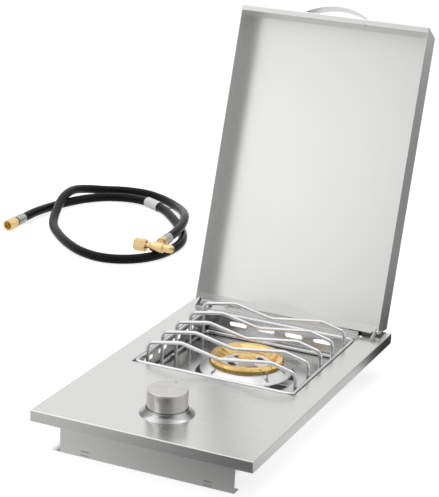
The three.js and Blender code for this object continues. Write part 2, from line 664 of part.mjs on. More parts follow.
// Burner, round the axis through the middle of the well
const head = new THREE.Group()
head.position.y = burnerY
burner.add(head)

const screwRadius = ring.radius + baseScrew.ringGap
const screwAngles = [0, 2 * Math.PI / 3, 4 * Math.PI / 3]
const electrodeRadius = ring.radius + electrode.ringGap
const electrodeAngle = THREE.MathUtils.degToRad(electrode.angle)
const electrodeX = electrodeRadius * Math.cos(electrodeAngle)
const electrodeY = electrodeRadius * Math.sin(electrodeAngle)
const rimTop = burnerBottom + base.rimHeight
const screwSeat = rimTop + (base.height - base.rimHeight) / 2 - baseScrew.recess
const throatBottom = valveBottom

function aroundAxis(geometry, angle) {
  return geometry.translate(screwRadius, 0, 0).rotateZ(angle)
}

function burnerBase() {
  const ledge = seatZ - bowl.ledgeDepth
  const bowlFloor = burnerBottom + bowl.floor
  const profile = [
    [0, throatBottom], [throat.radius, throatBottom], [throat.radius, spiderTop],
    [throat.bossRadius, spiderTop], [throat.bossRadius, burnerBottom],
    [baseRadius - base.bevel, burnerBottom],
    [baseRadius, burnerBottom + base.shoulder], [baseRadius, rimTop - base.shoulder],
    [baseRadius - base.shoulder, rimTop], [neckRadius + base.shoulder, seatZ - bowl.ledgeDepth],
    [neckRadius, seatZ], [ledgeRadius, seatZ], [ledgeRadius, ledge], [bowlRadius, ledge],
    [bowlRadius, bowlFloor], [throat.bore, bowlFloor], [throat.bore, throatBottom + bowl.ledgeDepth],
    [0, throatBottom + bowl.ledgeDepth],
  ]
  const screwCuts = screwAngles.flatMap(angle => [
    aroundAxis(rod(baseScrew.radius + clearance, spiderTop - overrun, seatZ, tiny), angle),
    aroundAxis(rod(baseScrew.headRadius + clearance, screwSeat, seatZ + overrun, tiny), angle)])
  const legs = screwAngles.map(angle =>
    aroundAxis(rod(baseLeg.radius, spiderTop, burnerBottom + base.shoulder, small), angle))
  return cut(join(solid(turned(profile)), legs), [
    ...screwCuts,
    moved(rod(ceramic.radius + clearance, burnerBottom - overrun, seatZ, tiny), electrodeX, electrodeY, 0),
    moved(alongY(rod(venturi.radius + clearance, -throat.radius - overrun, 0, small)), 0, 0, venturiZ),
  ])
}

function burnerDeck() {
  const bottom = deckTop - deck.thickness
  const edge = ledgeRadius - clearance
  const hubTop = deckTop + deck.hubHeight
  const body = solid(turned([
    [0, bottom], [edge, bottom], [edge, deckTop], [deck.hubRadius, deckTop], [deck.hubRadius, hubTop],
    [0, hubTop],
  ]))
  const half = THREE.MathUtils.degToRad(deckSlot.arc / 2)
  const slots = Array.from({ length: deckSlot.count }, (_, i) => {
    const shape = new THREE.Shape()
    shape.absarc(0, 0, deckSlot.outer, -half, half)
    shape.absarc(0, 0, deckSlot.inner, half, -half, true)
    const depth = deck.thickness + 2 * overrun
    return new THREE.ExtrudeGeometry(shape, { depth, bevelEnabled: false, curveSegments: deckSlot.steps })
      .translate(0, 0, bottom - overrun).rotateZ((i + 1 / 2) * 2 * Math.PI / deckSlot.count)
  })
  const pinHole = rod(cap.pinRadius + clearance, hubTop - cap.pinLength - clearance, hubTop + overrun, tiny)
  return cut(body, [...slots, pinHole])
}

function burnerRing() {
  const top = seatZ + ring.height
  const side = seatZ + ring.side
  const underTop = top - ring.wall
  const foot = deckTop + clearance
  const outerTop = ring.radius - ring.chamfer
  const innerTop = outerTop - ring.land
  const bore = innerTop - ring.funnel
  const body = solid(turned([
    [ring.radius, seatZ], [ring.radius, side], [outerTop, top], [innerTop, top],
    [bore, foot], [bore + ring.wall, foot], [innerTop + ring.wall / 2, underTop],
    [outerTop - ring.wall / 2, underTop], [ring.radius - ring.wall, side - ring.wall / 2],
    [ring.radius - ring.wall, seatZ],
  ]))
  const ports = Array.from({ length: port.count }, (_, i) =>
    alongX(rod(port.radius, ring.radius - ring.wall - overrun, ring.radius + overrun, port.sides))
      .translate(0, 0, seatZ + port.rise).rotateZ((i + 1 / 2) * 2 * Math.PI / port.count))
  return cut(body, ports)
}

function burnerCap() {
  const bottom = deckTop + deck.hubHeight
  const skirtTop = bottom + cap.skirt
  const top = bottom + cap.height
  const body = solid(turned([[0, bottom - cap.pinLength], [cap.pinRadius, bottom - cap.pinLength],
    [cap.pinRadius, bottom], [cap.radius, bottom], [cap.radius, top - cap.skirt / 4],
    [cap.radius - cap.skirt / 4, top], [0, top]]))
  const gapWidth = Math.PI * cap.radius / cap.teeth
  const gaps = Array.from({ length: cap.teeth }, (_, i) =>
    slab([cap.toothInner, -gapWidth / 2, bottom - overrun], [cap.radius + overrun, gapWidth / 2, skirtTop])
      .rotateZ(i * 2 * Math.PI / cap.teeth))
  return cut(body, gaps)
}

function burnerSpider() {
  const arm = (reach, width, angle) =>
    slab([0, -width / 2, spiderUnder], [reach, width / 2, spiderTop]).rotateZ(angle)
  const body = join(solid(rod(spider.hubRadius, spiderUnder, spiderTop)), [
    ...screwAngles.map(angle => arm(wellHoleRadius + spider.reach, spider.armWidth, angle)),
    arm(electrodeRadius + spider.shortReach, spider.shortWidth, electrodeAngle),
  ])
  const through = radius => rod(radius + clearance, spiderUnder - overrun, spiderTop + overrun, tiny)
  return cut(body, [
    rod(throat.radius + clearance, spiderUnder - overrun, spiderTop + overrun),
    ...screwAngles.map(angle => aroundAxis(through(baseScrew.radius), angle)),
    moved(through(ceramic.radius), electrodeX, electrodeY, 0),
  ])
}

function holdDownScrew() {
  const { radius, headRadius } = baseScrew
  const bottom = spiderUnder - baseScrew.tail
  const headTop = screwSeat + baseScrew.headHeight
  return turned([
    [0, bottom], [radius, bottom], [radius, screwSeat], [headRadius, screwSeat], [headRadius, headTop],
    [0, headTop],
  ], tiny)
}

function electrodeCeramic() {
  const [bottom, top] = [spiderTop - ceramic.drop, spiderTop + ceramic.top]
  const bore = electrode.radius + clearance
  const { radius, collarRadius } = ceramic
  return turned([
    [0, bottom], [radius, bottom], [radius, spiderTop], [collarRadius, spiderTop],
    [collarRadius, burnerBottom], [radius, burnerBottom], [radius, top], [bore, top],
    [bore, top - ceramic.boreDepth], [0, top - ceramic.boreDepth],
  ], tiny)
}

function electrodeRod() {
  const top = spiderTop + ceramic.top
  const corners = [[electrodeRadius, 0, top - ceramic.boreDepth + clearance],
    [electrodeRadius, 0, top + electrode.height],
    [electrodeRadius - electrode.tip, 0, top + electrode.height]]
  const stations = bentStations(corners, [electrodeBend.radius], electrodeBend.steps)
  return tube(stations, electrode.radius, electrode.sides).rotateZ(electrodeAngle)
}

add(head, 'burner_base', burnerBase(), aluminium())
add(head, 'burner_deck', burnerDeck(), aluminium())
add(head, 'burner_ring', burnerRing(), brass())
add(head, 'burner_cap', burnerCap(), brass())
add(head, 'burner_bracket', burnerSpider(), zinc())
screwAngles.forEach((angle, i) =>
  add(head, `base_screw_${i + 1}`, aroundAxis(holdDownScrew(), angle), zinc()))
add(head, 'electrode_ceramic', moved(electrodeCeramic(), electrodeX, electrodeY, 0), white())
add(head, 'electrode_rod', electrodeRod(), zinc())

// Igniter wire from the box on the valve to the foot of the ceramic
function igniterWire() {
  const boxBack = knobY + igniter.width / 2 + clearance
  const boxX = igniterPad.reach + igniter.length / 2
  const boxZ = valveBottom + igniter.rise
  const endX = electrodeX
  const endY = burnerY + electrodeY
  const endZ = spiderTop - ceramic.drop - clearance
  const run = endY - boxBack
  const low = endZ - 2 * ceramic.radius
  const way = wireShares.map(([across, along, down]) => [
    boxX + across * (endX - boxX), boxBack + along * run, boxZ + down * (low - boxZ)])
  const points = [
    [boxX, boxBack, boxZ],
    ...way,
    [endX, endY - ceramic.radius / 2, low + ceramic.radius / 3],
    [endX, endY, endZ - ceramic.radius],
    [endX, endY, endZ],
  ].map(point => new THREE.Vector3().fromArray(point))
  return tube(curveStations(new THREE.CatmullRomCurve3(points), wire.steps), wire.radius, wire.sides)
}

function curveStations(curve, steps) {
  return Array.from({ length: steps + 1 }, (_, i) => (
    { point: curve.getPointAt(i / steps), tangent: curve.getTangentAt(i / steps) }))
}

add(burner, 'igniter_wire', igniterWire(), rubber())

// Grate, one welded rack that lifts out: bent wires across, two perimeter wires round their legs
const wireGap = 2 * grate.wireRadius + clearance
const frameX = wellHalf - grate.wallGap
const legX = frameX - wireGap
const [frameFront, frameBack] = [opening.front + grate.wallGap, opening.back - grate.wallGap]
const legBottom = floorTop + clearance

function grateWire(y) {
  const corners = [
    [-legX, y, legBottom], [-legX, y, crests.leftCorner],
    [legX * crestShares.leftPeak, y, crests.leftPeak],
    [legX * crestShares.valley, y, crests.valley],
    [legX * crestShares.rightPeak, y, crests.rightPeak],
    [legX, y, crests.rightCorner], [legX, y, legBottom],
  ]
  const radii = [grateBends.corner, grateBends.crest, grateBends.crest, grateBends.crest, grateBends.corner]
  return tube(bentStations(corners, radii, grateBends.steps), grate.wireRadius, grate.sides)
}

function grateFrame(z) {
  const places = [[frameX, frameFront], [frameX, frameBack], [-frameX, frameBack], [-frameX, frameFront]]
  const corners = places.map(([x, y]) => new THREE.Vector3(x, y, z))
  const stations = corners.flatMap((corner, i) => {
    const before = corner.clone().sub(corners[(i + 3) % 4]).normalize()
    const after = corners[(i + 1) % 4].clone().sub(corner).normalize()
    return bendStations(corner, before, after, grateCorner.radius, grateCorner.steps)
  })
  return levelLoop(stations, grate.wireRadius, grate.sides)
}

for (let i = 0; i < grate.wires; i++) {
  const share = i / (grate.wires - 1)
  const y = THREE.MathUtils.lerp(frameFront + grate.endGap, frameBack - grate.endGap, share)
  add(burner, `grate_wire_${i + 1}`, grateWire(y), brightSteel())
}
add(burner, 'grate_frame_top', grateFrame(topFrame.height), brightSteel())
add(burner, 'grate_frame_bottom', grateFrame(floorTop + grate.wireRadius + clearance), brightSteel())

// Lid in its own frame: X across, Y from the opening to the panel, Z from the hinge to the front
const lidGroup = new THREE.Group()
lidGroup.position.copy(lidCorner)
lidGroup.rotation.x = -lean
burner.add(lidGroup)

const rearSlope = lidSlope.rearRise / lid.depth
const frontSlope = lidSlope.frontRun / lid.depth
const frontLean = Math.atan(frontSlope)

function lidShell() {
  const half = lidHalf
  const inner = half - lid.sheet
  const panel = lid.depth - lid.sheet
  const rearWall = lid.sheet * Math.hypot(1, rearSlope)
  const frontWall = lid.sheet * Math.hypot(1, frontSlope)
  const rearAt = y => rearSlope * y + rearWall
  const frontAt = y => lidLength - frontSlope * y - frontWall
  const panelTop = lidLength - lidSlope.frontRun
  const outline = [[0, 0], [lid.depth, lidSlope.rearRise], [lid.depth, panelTop], [0, lidLength]]
  const hollow = [[-overrun, rearAt(-overrun)], [panel, rearAt(panel)], [panel, frontAt(panel)],
    [-overrun, frontAt(-overrun)]]
  const folds = [0, lid.bend, lid.bend, lid.bend]
  const plan = bentOutline([[-half, -overrun], [half, -overrun], [half, lid.depth], [-half, lid.depth]],
    [0, 0, lid.bend, lid.bend])
  const outer = solid(acrossX(bentOutline(outline, folds), -half, half)).intersect(
    solid(extruded(plan, -overrun, lidLength + overrun)))
  const tray = cut(outer, [acrossX(hollow, -inner, inner)])
  const lipSlab = [[0, lidLength - lid.lip], [lid.sheet, lidLength - lid.lip],
    [lid.sheet, frontAt(lid.sheet) + frontWall / 2], [0, frontAt(0) + frontWall / 2]]
  const lip = acrossX(lipSlab, -inner - lid.sheet / 2, inner + lid.sheet / 2)
  const body = join(tray, [lip]).intersect(outer)
  const notches = sides.map(([, side]) => {
    const [near, far] = span(side, inner - lidNotch.width, inner)
    return slab([near, -overrun, -overrun], [far, lidNotch.depth, lidNotch.height])
  })
  const pinHole = () => alongX(rod(pin.radius + clearance, -overrun, overrun, tiny))
  const pinHoles = sides.map(([, side]) => moved(pinHole(), side * half, hinge.axisDepth, hinge.axisRise))
  const rivetCuts = sides.map(([, side]) => onFront(
    rod(rivet.radius + clearance, -lid.sheet - overrun, overrun, tiny), side * handleRivetX))
  return cut(body, [...notches, ...pinHoles, ...rivetCuts])
}

// Places a shape, drawn with Z out of the lid's sloped front, on that front
function onFront(geometry, x) {
  return geometry.rotateX(-frontLean).translate(x, handle.setback, lidLength - frontSlope * handle.setback)
}

const handleRivetX = handle.halfSpan - handle.foot / 2 - handle.strip / 2

function lidHandle() {
  const outerX = handle.halfSpan
  const innerX = outerX - handle.strip
  const apex = handle.leg + handle.rise
  const arcX = outerX - handle.strip
  const bowRadius = (arcX ** 2 + handle.rise ** 2) / (2 * handle.rise)
  const arc = (radius, reach) => Array.from({ length: handleBow.steps + 1 }, (_, i) => {
    const x = reach * (2 * i / handleBow.steps - 1)
    return [x, apex - bowRadius + Math.sqrt(radius ** 2 - x ** 2)]
  })
  const outer = [[-outerX, clearance], [-outerX, handle.leg - handle.strip], ...arc(bowRadius, arcX),
    [outerX, handle.leg - handle.strip], [outerX, clearance]]
  const footTop = clearance + handle.strip
  const footX = outerX - handle.foot
  const inner = [[footX, clearance], [footX, footTop], [innerX, footTop],
    ...arc(bowRadius - handle.strip, innerX - handle.strip / 2).reverse(),
    [-innerX, footTop], [-footX, footTop], [-footX, clearance]]
  const strip = extruded([...outer, ...inner], -handle.width / 2, handle.width / 2).rotateX(Math.PI / 2)
  const holes = sides.map(([, side]) => moved(
    rod(rivet.radius + clearance, 0, footTop + overrun, tiny), side * handleRivetX, 0, 0))
  return onFront(geometryOf(cut(solid(strip), holes)), 0)
}

function handleRivet(side) {
  const footTop = clearance + handle.strip
  return onFront(rivetBody(-lid.sheet - clearance, footTop + clearance), side * handleRivetX)
}

add(lidGroup, 'lid_panel', lidShell(), steel())
add(lidGroup, 'lid_handle', lidHandle(), brightSteel())
sides.forEach(([word, side]) => add(lidGroup, `handle_rivet_${word}`, handleRivet(side), steel()))

// Hinge brackets, pins, rivets and the lid's stops, which stay with the plate
function hingeBracket(side) {
  const [footFront, footTop] = [footBack - hingeFoot.length, plateTop + hingeFoot.sheet]
  const { y, z } = hingeAxis
  const arc = Array.from({ length: hingeEar.steps + 1 }, (_, i) => {
    const angle = THREE.MathUtils.degToRad(
      THREE.MathUtils.lerp(hingeEar.arcStart, hingeEar.arcEnd, i / hingeEar.steps))
    return [y + hinge.earRadius * Math.cos(angle), z + hinge.earRadius * Math.sin(angle)]
  })
  const ear = [[footFront, plateTop], [footBack, plateTop], ...arc, [footFront, plateTop + hingeFoot.heel]]
  const [earLow, earHigh] = span(side, earInner, earOuter)
  const [footLow, footHigh] = span(side, earOuter - hingeFoot.width, earOuter)
  const body = join(solid(acrossX(ear, earLow, earHigh)), [
    slab([footLow, footFront, plateTop], [footHigh, footBack, footTop])])
  return cut(body, [
    alongX(rod(pin.radius + clearance, earLow - overrun, earHigh + overrun, tiny)).translate(0, y, z),
    moved(rod(rivet.radius + clearance, 0, footTop + overrun, tiny), side * rivetPlace.x, rivetPlace.y, 0),
  ])
}

function hingePin(side) {
  const headStart = earInner - clearance - pin.headHeight
  const end = lidHalf + pin.tail
  const headEnd = earInner - clearance
  const geometry = turned([[0, headStart], [pin.headRadius / 2, headStart],
    [pin.headRadius, headStart + pin.headHeight / 2], [pin.headRadius, headEnd], [pin.radius, headEnd],
    [pin.radius, end], [0, end]], tiny)
  return geometry.rotateY(side * Math.PI / 2).translate(0, hingeAxis.y, hingeAxis.z)
}

function hingeRivet() {
  return rivetBody(plateUnder - well.sheet, plateTop + hingeFoot.sheet)
}

// Rail between the brackets, whose upstand closes the gap under the open lid
function hingeRail() {
  const half = earOuter - hingeFoot.width - clearance
  const upstand = slab([-half, footBack - rail.sheet, plateTop], [half, footBack, plateTop + rail.height])
  const foot = slab([-half, footBack - rail.foot, plateTop], [half, footBack, plateTop + rail.sheet])
  return join(solid(upstand), [foot])
}

add(burner, 'hinge_rail', hingeRail(), steel())
sides.forEach(([word, side]) => {
  add(burner, `hinge_bracket_${word}`, hingeBracket(side), steel())
  add(burner, `hinge_pin_${word}`, hingePin(side), brightSteel())
  add(burner, `hinge_rivet_${word}`, moved(hingeRivet(), side * rivetPlace.x, rivetPlace.y, 0), brightSteel())
  const stopY = plateBack - lidStop.rearGap
  add(burner, `lid_stop_${word}`, moved(slab(
    [-lidStop.width / 2, stopY - lidStop.length / 2, plateTop],
    [lidStop.width / 2, stopY + lidStop.length / 2, plateTop + lidStop.height]),
  side * (lidHalf - lidStop.sideGap), 0, 0), rubber())
})

// Hose and its fittings: each fitting is drawn along +Z and turned to the hose's end
const hoseCurve = new THREE.CatmullRomCurve3(route.map(([x, y, z]) => new THREE.Vector3(x, y, surface + z)))
const hoseStations = curveStations(hoseCurve, hose.steps)

function endFrame(station, outward) {
  const group = new THREE.Group()
  const level = outward.clone().setZ(0).normalize()
  group.position.copy(station.point)
  group.rotation.z = Math.atan2(level.y, level.x)
  burner.add(group)
  return group
}

const teeEnd = endFrame(hoseStations[0], hoseStations[0].tangent.clone().negate())
const nutEnd = endFrame(hoseStations.at(-1), hoseStations.at(-1).tangent)

function ferruleSleeve() {
  const pitch = (ferrule.length - clearance) / (2 * ferrule.bands + 1)
  const inner = ferrule.radius - ferrule.bandDepth
  const bands = Array.from({ length: ferrule.bands }, (_, i) => {
    const start = clearance + (2 * i + 1) * pitch
    return [[ferrule.radius, start], [inner, start + pitch / 4], [inner, start + 3 * pitch / 4],
      [ferrule.radius, start + pitch]]
  }).flat()
  return alongX(turned([[0, clearance], [ferrule.radius, clearance], ...bands,
    [ferrule.radius, ferrule.length], [0, ferrule.length]], small))
}

function nippleProfile(start) {
  const end = start + nipple.length
  return [[0, start], [nipple.radius, start], [nipple.radius, end - nipple.flareLength],
    [nipple.flareRadius, end - nipple.flareLength / 2], [nipple.flareRadius, end], [nipple.radius / 2, end],
    [nipple.radius / 2, start + nipple.length / 2], [0, start + nipple.length / 2]]
}

// Swivel nut whose mouth opens along +Z and whose back grips behind the nipple's flare
function swivelNut(start) {
  const end = start + nut.length
  const corner = nut.acrossFlats / Math.sqrt(3)
  const chamfered = solid(turned([[0, start], [corner - nut.chamfer, start], [corner, start + nut.chamfer],
    [corner, end - nut.chamfer], [corner - nut.chamfer, end], [0, end]]))
  const body = chamfered.intersect(solid(extruded(hexagon(nut.acrossFlats), start - overrun, end + overrun)))
  return cut(body, [
    rod(nipple.radius + clearance, start - overrun, end, small),
    rod(nut.bore, end - nut.boreDepth, end + overrun, small),
  ])
}

const nutStart = nipple.length - nut.length + nut.boreDepth - nipple.flareLength - clearance

add(burner, 'gas_hose', tube(hoseStations, hose.radius, hose.sides), rubber())
add(nutEnd, 'hose_ferrule_left', ferruleSleeve(), zinc())
add(nutEnd, 'hose_nipple', alongX(turned(nippleProfile(ferrule.length), small)), brass())
add(nutEnd, 'hose_nut', alongX(geometryOf(swivelNut(ferrule.length + nutStart))), brass())
add(teeEnd, 'hose_ferrule_right', ferruleSleeve(), zinc())

// Tee: its branch takes the hose, its run has a swivel nut on the left and a male flare end
const teeGroup = new THREE.Group()
teeGroup.position.x = ferrule.length + teeBranch.length
teeEnd.add(teeGroup)

function teeBody() {
  const reach = tee.body
  const stub = nippleProfile(0).map(([r, z]) => [r, -reach - z]).reverse()
  const male = flareProfile(tee.male - reach).map(([r, z]) => [r, z + reach])
  const run = [...stub.slice(0, -2), [nipple.radius, -reach], [tee.waist, -reach], [tee.radius, -reach / 2],
    [tee.radius, reach], [tee.waist, reach], ...male, [flare.bore, reach], [0, reach]]
  const collarStart = teeBranch.length - teeBranch.collarLength
  const branch = turned([
    [0, 0], [teeBranch.radius, 0], [teeBranch.radius, collarStart], [teeBranch.collarRadius, collarStart],
    [teeBranch.collarRadius, teeBranch.length], [0, teeBranch.length],
  ], small)
  return join(solid(alongY(turned(run, small))), [branch.rotateY(-Math.PI / 2)])
}

add(teeGroup, 'tee_fitting', teeBody(), brass())
const teeNut = geometryOf(swivelNut(nutStart)).rotateX(Math.PI / 2)
add(teeGroup, 'tee_nut', teeNut.translate(0, -tee.body, 0), brass())

// Blank label, a sleeve round one straight step of the hose with a flag that lies flat
function hoseLabel() {
  const inner = hose.radius + label.gap
  const outer = inner + label.sheet
  const half = label.length / 2
  const sleeve = solid(rod(outer, -half, half, small).rotateY(Math.PI / 2))
  const flag = slab([-half, -label.flag, -hose.radius], [half, 0, -hose.radius + label.sheet])
  return cut(join(sleeve, [flag]), [rod(inner, -half - overrun, half + overrun, small).rotateY(Math.PI / 2)])
}

const labelStep = Math.round(label.placeShare * hose.steps)
const [labelFrom, labelTo] = [hoseStations[labelStep].point, hoseStations[labelStep + 1].point]
const labelGroup = new THREE.Group()
labelGroup.position.copy(labelFrom).add(labelTo).multiplyScalar(1 / 2)
labelGroup.rotation.z = Math.atan2(labelTo.y - labelFrom.y, labelTo.x - labelFrom.x)
burner.add(labelGroup)
add(labelGroup, 'hose_label', hoseLabel(), white())

export default burner
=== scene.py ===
import math

import bmesh
import bpy
from mathutils import Matrix, Vector

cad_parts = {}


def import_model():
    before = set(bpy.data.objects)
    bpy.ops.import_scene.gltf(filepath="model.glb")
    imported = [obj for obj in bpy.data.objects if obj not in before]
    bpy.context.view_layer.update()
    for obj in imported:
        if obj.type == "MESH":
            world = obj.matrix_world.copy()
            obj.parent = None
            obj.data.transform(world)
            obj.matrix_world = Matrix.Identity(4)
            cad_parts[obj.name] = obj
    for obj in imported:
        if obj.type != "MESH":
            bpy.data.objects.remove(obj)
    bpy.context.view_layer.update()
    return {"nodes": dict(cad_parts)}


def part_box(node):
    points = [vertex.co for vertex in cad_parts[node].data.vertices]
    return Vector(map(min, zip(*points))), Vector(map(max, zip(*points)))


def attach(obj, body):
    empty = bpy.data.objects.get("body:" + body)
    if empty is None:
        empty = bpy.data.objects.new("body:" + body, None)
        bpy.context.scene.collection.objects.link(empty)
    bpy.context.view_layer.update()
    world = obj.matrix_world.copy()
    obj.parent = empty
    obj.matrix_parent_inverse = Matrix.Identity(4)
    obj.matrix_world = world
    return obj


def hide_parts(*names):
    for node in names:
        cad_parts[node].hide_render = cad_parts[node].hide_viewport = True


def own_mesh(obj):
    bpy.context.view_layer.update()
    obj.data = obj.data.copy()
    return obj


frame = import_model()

# A gas side burner with its lid open and its hose behind it, in a white studio. Lengths are
# metres in the frame of the loaded model: +Z is up, and the knob faces -Y.

MM = 0.001
nodes = frame["nodes"]

# Camera, fitted to the photograph's straight edges
CAMERA_PLACE = Vector((0.93913, -2.14150, 0.97122))
CAMERA_AZIMUTH = math.radians(23.98)
CAMERA_ELEVATION = math.radians(18.26)
CAMERA_ROLL = math.radians(2.49)
CAMERA_LENS = 126.39
CAMERA_SENSOR = 36

# Hose, whose route is the one that the solid follows. The route is in millimetres, with heights
# above the surface that the hose lies on.
SURFACE = -46.2
HOSE_RADIUS = 8.5
HOSE_STEPS_PER_SPAN = 8
HOSE_RESOLUTION = 8
HOSE_ROUTE = [
    (-388, 610, 27), (-392, 650, 27), (-401, 692, 27), (-416, 735, 26.6), (-441, 783, 20),
    (-482, 838, 11), (-527, 874, 8.7), (-575, 893, 8.7), (-622, 890, 8.7), (-659, 866, 11),
    (-681, 828, 19), (-687, 786, 26), (-681, 737, 26), (-664, 680, 17), (-636, 618, 9),
    (-595, 568, 8.7), (-552, 529, 8.7), (-511, 503, 8.7), (-469, 492, 8.7), (-431, 501, 8.7),
    (-401, 526, 8.7), (-382, 563, 8.7), (-376, 606, 8.7), (-380, 647, 8.7), (-396, 687, 8.7),
    (-422, 726, 9.2), (-455, 766, 9.9), (-494, 806, 10.6), (-540, 836, 10.6), (-590, 846, 9.4),
    (-634, 831, 8.7), (-664, 798, 8.7), (-684, 755, 8.7), (-695, 705, 10), (-698, 655, 12.5),
    (-698, 610, 12.5),
]


def make_camera():
    back = Vector((math.sin(CAMERA_AZIMUTH) * math.cos(CAMERA_ELEVATION),
                   -math.cos(CAMERA_AZIMUTH) * math.cos(CAMERA_ELEVATION), math.sin(CAMERA_ELEVATION)))
    level = Vector((math.cos(CAMERA_AZIMUTH), math.sin(CAMERA_AZIMUTH), 0))
    upright = back.cross(level)
    right = level * math.cos(CAMERA_ROLL) + upright * math.sin(CAMERA_ROLL)
    up = back.cross(right)
    data = bpy.data.cameras.new("camera")
    data.lens = CAMERA_LENS
    data.sensor_width = CAMERA_SENSOR
    camera = bpy.data.objects.new("camera", data)
    turn = Matrix((right, up, back)).transposed().to_4x4()
    camera.matrix_world = Matrix.Translation(CAMERA_PLACE) @ turn
    bpy.context.scene.collection.objects.link(camera)
    bpy.context.scene.camera = camera


def smooth_path(points, steps):
    """Centripetal Catmull-Rom curve through the points, the curve that the solid hose follows."""
    points = [Vector(p) for p in points]
    padded = [2 * points[0] - points[1], *points, 2 * points[-1] - points[-2]]
    path = []
    for p0, p1, p2, p3 in zip(padded, padded[1:], padded[2:], padded[3:]):
        t0, t1, t2 = (math.sqrt((b - a).length) for a, b in ((p0, p1), (p1, p2), (p2, p3)))
        start = ((p1 - p0) / t0 - (p2 - p0) / (t0 + t1) + (p2 - p1) / t1) * t1
        end = ((p2 - p1) / t1 - (p3 - p1) / (t1 + t2) + (p3 - p2) / t2) * t1
        for i in range(steps):
            u = i / steps
            path.append(p1 + start * u + (3 * (p2 - p1) - 2 * start - end) * u ** 2
                        + (2 * (p1 - p2) + start + end) * u ** 3)
    return [*path, points[-1]]


def tube_curve(name, points, radius, resolution):
    """Round tube along the points. Each point holds the radius, since it widens the curve's box."""
    curve = bpy.data.curves.new(name, "CURVE")
    curve.dimensions = "3D"
    curve.bevel_depth = 1
    curve.bevel_resolution = resolution
    curve.use_fill_caps = True
    spline = curve.splines.new("POLY")
    spline.points.add(len(points) - 1)
    for point, place in zip(spline.points, points):
        point.co = (*place, 1)
        point.radius = radius
    spline.use_smooth = True
    piece = bpy.data.objects.new(name, curve)
    bpy.context.scene.collection.objects.link(piece)
    return piece


make_camera()
hose_points = [(x * MM, y * MM, (SURFACE + z) * MM) for x, y, z in HOSE_ROUTE]
hose_path = smooth_path(hose_points, HOSE_STEPS_PER_SPAN)
hose = tube_curve("hose_rubber", hose_path, HOSE_RADIUS * MM, HOSE_RESOLUTION)
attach(hose, "burner")
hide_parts("gas_hose")

# Colours. The bezel's steel and the rubber are darker than the real materials, to match the photographed
# view; on the bezel that darkness is painted shade.
STEEL = (0.70, 0.70, 0.69)
BRIGHT_STEEL = (0.78, 0.78, 0.78)
WIRE_STEEL = (0.68, 0.68, 0.69)
SHADED_BEZEL_STEEL = (0.38, 0.38, 0.38)
KNOB_STEEL = (0.60, 0.59, 0.57)
ZINC = (0.52, 0.53, 0.54)
ALUMINIUM = (0.86, 0.86, 0.87)
BRASS = (0.86, 0.58, 0.22)
PORT_SHADE_BRASS = (0.10, 0.06, 0.02)
FITTING_BRASS = (0.84, 0.62, 0.30)
RUBBER = (0.007, 0.007, 0.008)
PLASTIC = (0.03, 0.03, 0.032)
CERAMIC = (0.80, 0.78, 0.74)
PAPER = (0.78, 0.78, 0.77)
WHITE = (1, 1, 1)

# Noise is used over the middle of its range, since it seldom reaches the ends
NOISE_LOW, NOISE_HIGH = 0.25, 0.75

# Scales, swings of roughness and of colour, and bumps as strength and height in metres
SCRATCH_ALONG, SCRATCH_ACROSS = 8, 2600
SCRATCH_TONES = (0.975, 1.02)
SCRATCH_SWING = 0.05
SCRATCH_BUMP = (0.05, 0.0001)
SHEET_SCALE = 3
SHEET_SWING = 0.02
TURNING_SCALE = 1800
TURNING_SWING = (0.05, 0.07)
TURNING_BUMP = (0.08, 0.0002)
BLOTCH_SCALE = 60
BLOTCH_TONES = (0.93, 1.05)
CAST_SCALE = 25
GRAIN_SWING = 0.06
GRAIN_STRENGTH = 0.25


